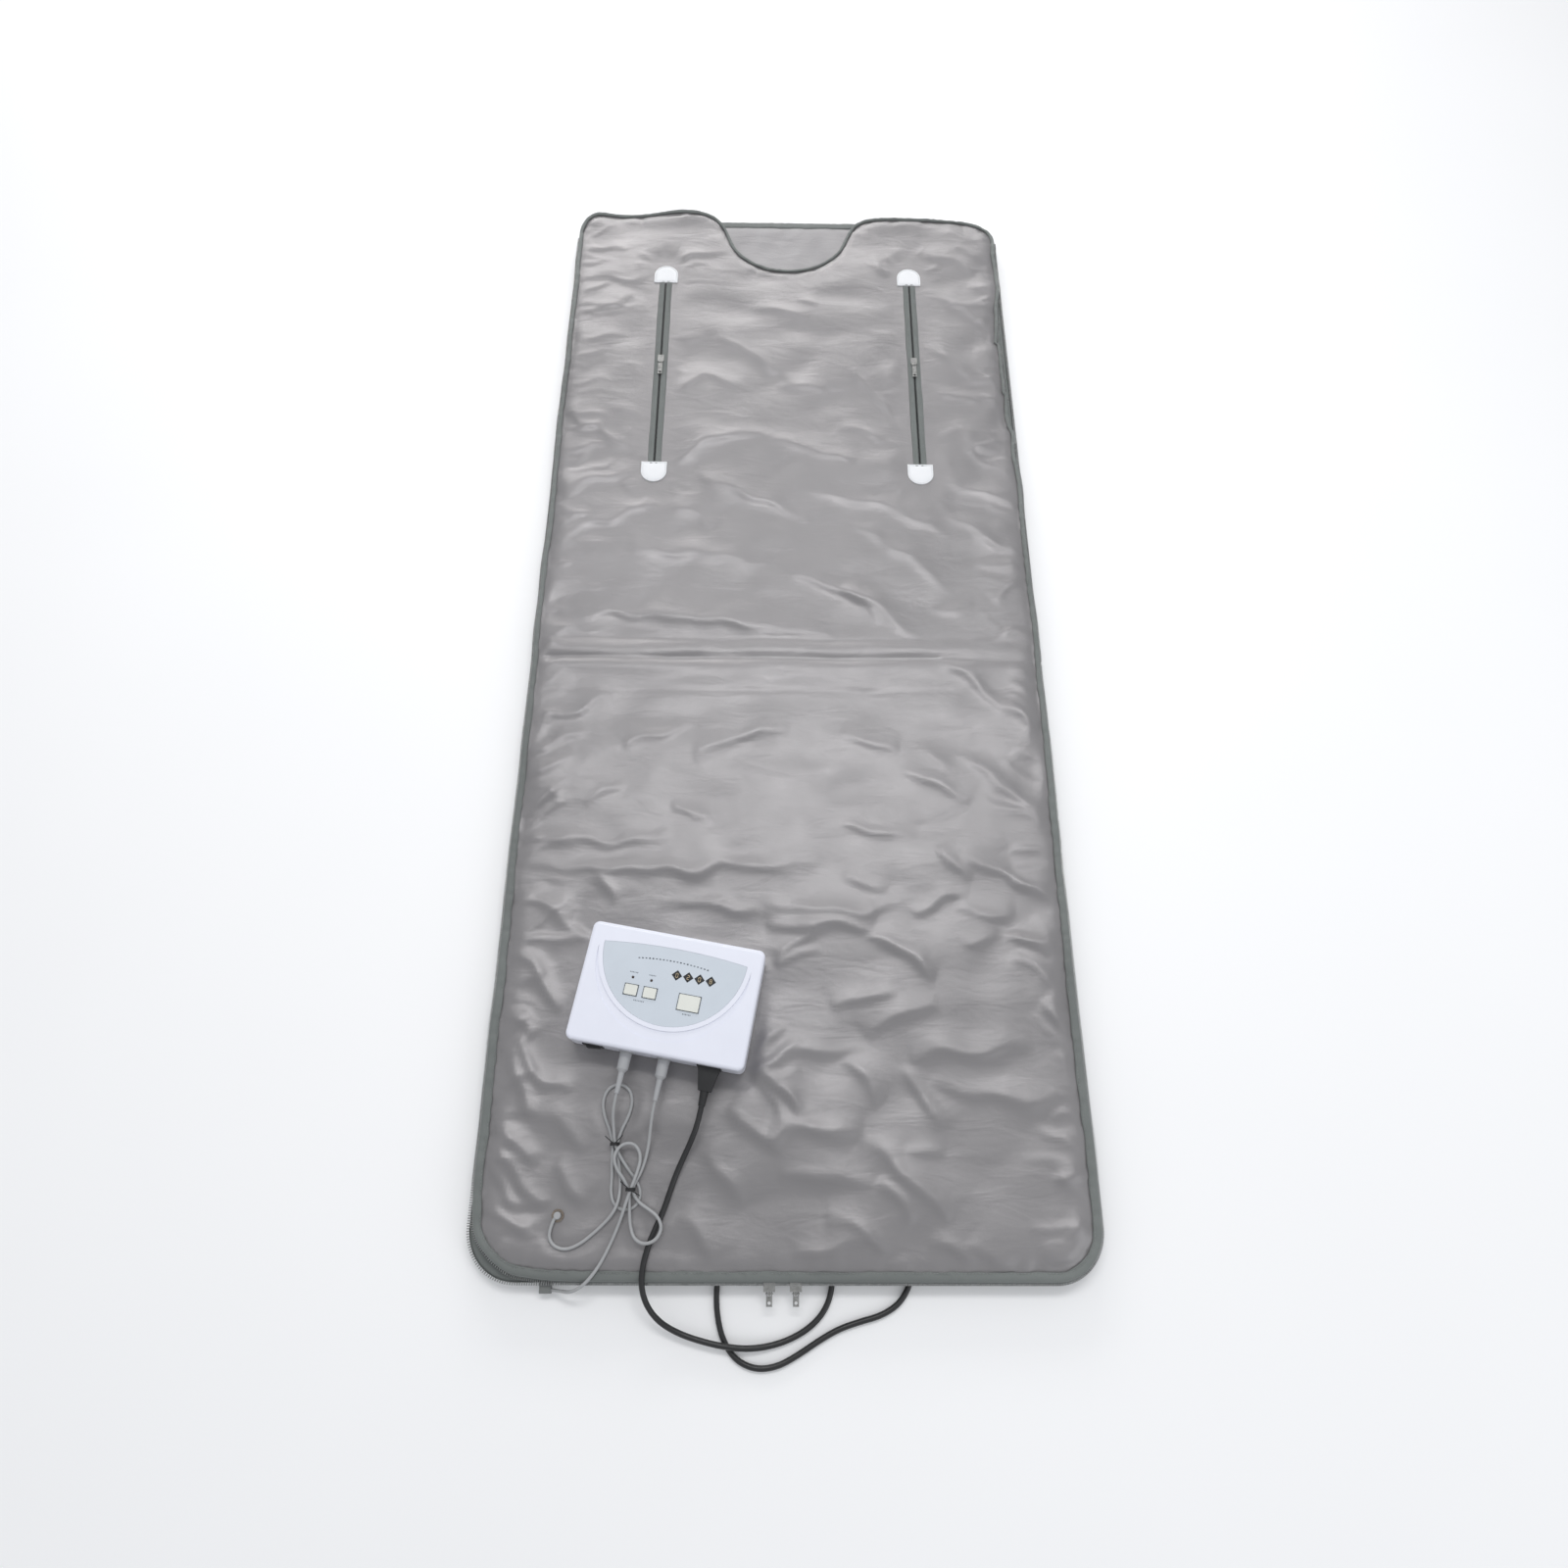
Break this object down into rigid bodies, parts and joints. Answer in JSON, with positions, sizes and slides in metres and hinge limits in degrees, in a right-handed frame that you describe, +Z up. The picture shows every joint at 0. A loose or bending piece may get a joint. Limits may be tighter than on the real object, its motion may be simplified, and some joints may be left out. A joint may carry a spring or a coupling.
{
  "type": "infrared sauna blanket",
  "caption": "Padded two-layer infrared sauna blanket with a neck opening, zipped arm openings, edge zips, a push-button controller, heater leads and a mains cord.",
  "frame": {"origin": "centre of the underside of the base mat, on the floor", "axes": "+X to the right seen from the foot end, +Y towards the head end and the neck opening, +Z up"},
  "size_m": [0.78, 1.8864, 0.0799],
  "materials": {
    "grey_nylon": "soft sheen",
    "edge_ribbon": "woven ribbon",
    "inner_liner": "smooth coated cloth",
    "padding": "felt",
    "heating_film": "matt",
    "zip_tape": "woven",
    "zip_metal": "polished",
    "patch_white": "woven",
    "case_white": "satin",
    "face_blue": "satin",
    "button_cream": "satin",
    "digit_black": "glossy",
    "lamp_dark": "glossy",
    "board_green": "matt",
    "rubber_black": "matt",
    "plug_grey": "satin",
    "plug_black": "satin",
    "lead_grey": "satin",
    "cord_black": "satin",
    "eyelet_metal": "polished"
  },
  "bodies": {
    "blanket": {"base_shell": "grey_nylon", "base_insulation": "padding", "base_heater": "heating_film", "base_liner": "inner_liner", "base_binding": "edge_ribbon", "base_zip": "zip_tape", "base_lead_boot": "rubber_black", "cover_foot_liner": "inner_liner", "cover_foot_padding": "padding", "cover_foot_outer": "grey_nylon", "cover_foot_heater": "heating_film", "cover_foot_binding": "edge_ribbon", "cover_foot_zip": "zip_tape", "eyelet": "eyelet_metal", "cover_lead_boot": "rubber_black", "controller_tray": "case_white", "controller_lid": "case_white", "controller_faceplate": "face_blue", "controller_board": "board_green", "controller_display": "digit_black", "controller_leds": "lamp_dark", "controller_feet": "rubber_black", "heater_socket_1": "plug_grey", "heater_plug_1": "plug_grey", "heater_socket_2": "plug_grey", "heater_plug_2": "plug_grey", "mains_inlet": "plug_black", "mains_connector": "plug_black", "rocker_housing": "rubber_black", "mains_plug": "plug_black", "tie_1": "plug_black", "tie_2": "plug_black", "lead_1": "lead_grey", "lead_2": "lead_grey", "mains_cord": "cord_black"},
    "cover_head": {"cover_head_liner": "inner_liner", "cover_head_padding": "padding", "cover_head_outer": "grey_nylon", "cover_head_heater": "heating_film", "cover_head_binding": "edge_ribbon", "cover_head_zip": "zip_tape", "arm_zip_left": "zip_tape", "arm_patch_left_foot": "patch_white", "arm_patch_left_head": "patch_white", "arm_zip_right": "zip_tape", "arm_patch_right_foot": "patch_white", "arm_patch_right_head": "patch_white"},
    "arm_slider_left": {"arm_slider_left": "zip_metal"},
    "arm_slider_right": {"arm_slider_right": "zip_metal"},
    "arm_pull_left": {"arm_pull_left": "zip_metal"},
    "arm_pull_right": {"arm_pull_right": "zip_metal"},
    "main_slider_left": {"main_slider_left": "zip_metal"},
    "main_slider_right": {"main_slider_right": "zip_metal"},
    "main_pull_left": {"main_pull_left": "zip_metal"},
    "main_pull_right": {"main_pull_right": "zip_metal"},
    "button_1": {"button_1": "button_cream"},
    "button_2": {"button_2": "button_cream"},
    "button_3": {"button_3": "button_cream"},
    "rocker": {"rocker": "rubber_black"}
  },
  "joints": [
    {"name": "cover_fold", "type": "hinge", "parent": "blanket", "child": "cover_head", "pos_m": [0, -0.05, 0.0296], "axis": [1, 0, 0], "range_deg": [0, 160]},
    {"name": "arm_zip_left_slide", "type": "slide", "parent": "cover_head", "child": "arm_slider_left", "axis": [0, 1, 0], "range_m": [-0.21, 0.168]},
    {"name": "arm_pull_left_hinge", "type": "hinge", "parent": "arm_slider_left", "child": "arm_pull_left", "pos_m": [-0.22, 0.5318, 0.033], "axis": [-1, 0, 0], "range_deg": [0, 150]},
    {"name": "arm_zip_right_slide", "type": "slide", "parent": "cover_head", "child": "arm_slider_right", "axis": [0, 1, 0], "range_m": [-0.21, 0.168]},
    {"name": "arm_pull_right_hinge", "type": "hinge", "parent": "arm_slider_right", "child": "arm_pull_right", "pos_m": [0.22, 0.5318, 0.033], "axis": [-1, 0, 0], "range_deg": [0, 150]},
    {"name": "main_zip_left_slide", "type": "slide", "parent": "blanket", "child": "main_slider_left", "axis": [-1, 0, 0], "range_m": [0, 0.12]},
    {"name": "main_pull_left_hinge", "type": "hinge", "parent": "main_slider_left", "child": "main_pull_left", "pos_m": [-0.0205, -0.9077, 0.0183], "axis": [-1, 0, 0], "range_deg": [-15, 95]},
    {"name": "main_zip_right_slide", "type": "slide", "parent": "blanket", "child": "main_slider_right", "axis": [1, 0, 0], "range_m": [0, 0.3]},
    {"name": "main_pull_right_hinge", "type": "hinge", "parent": "main_slider_right", "child": "main_pull_right", "pos_m": [0.0115, -0.9077, 0.0183], "axis": [-1, 0, 0], "range_deg": [-15, 95]},
    {"name": "button_1_press", "type": "slide", "parent": "blanket", "child": "button_1", "axis": [0, 0, -1], "range_m": [0, 0.0012], "stiffness_N_per_m": 300},
    {"name": "button_2_press", "type": "slide", "parent": "blanket", "child": "button_2", "axis": [0, 0, -1], "range_m": [0, 0.0012], "stiffness_N_per_m": 300},
    {"name": "button_3_press", "type": "slide", "parent": "blanket", "child": "button_3", "axis": [0, 0, -1], "range_m": [0, 0.0012], "stiffness_N_per_m": 300},
    {"name": "rocker_tilt", "type": "hinge", "parent": "blanket", "child": "rocker", "pos_m": [-0.24494, -0.6215, 0.054], "axis": [0, 0, 1], "range_deg": [-14, 0]}
  ]
}
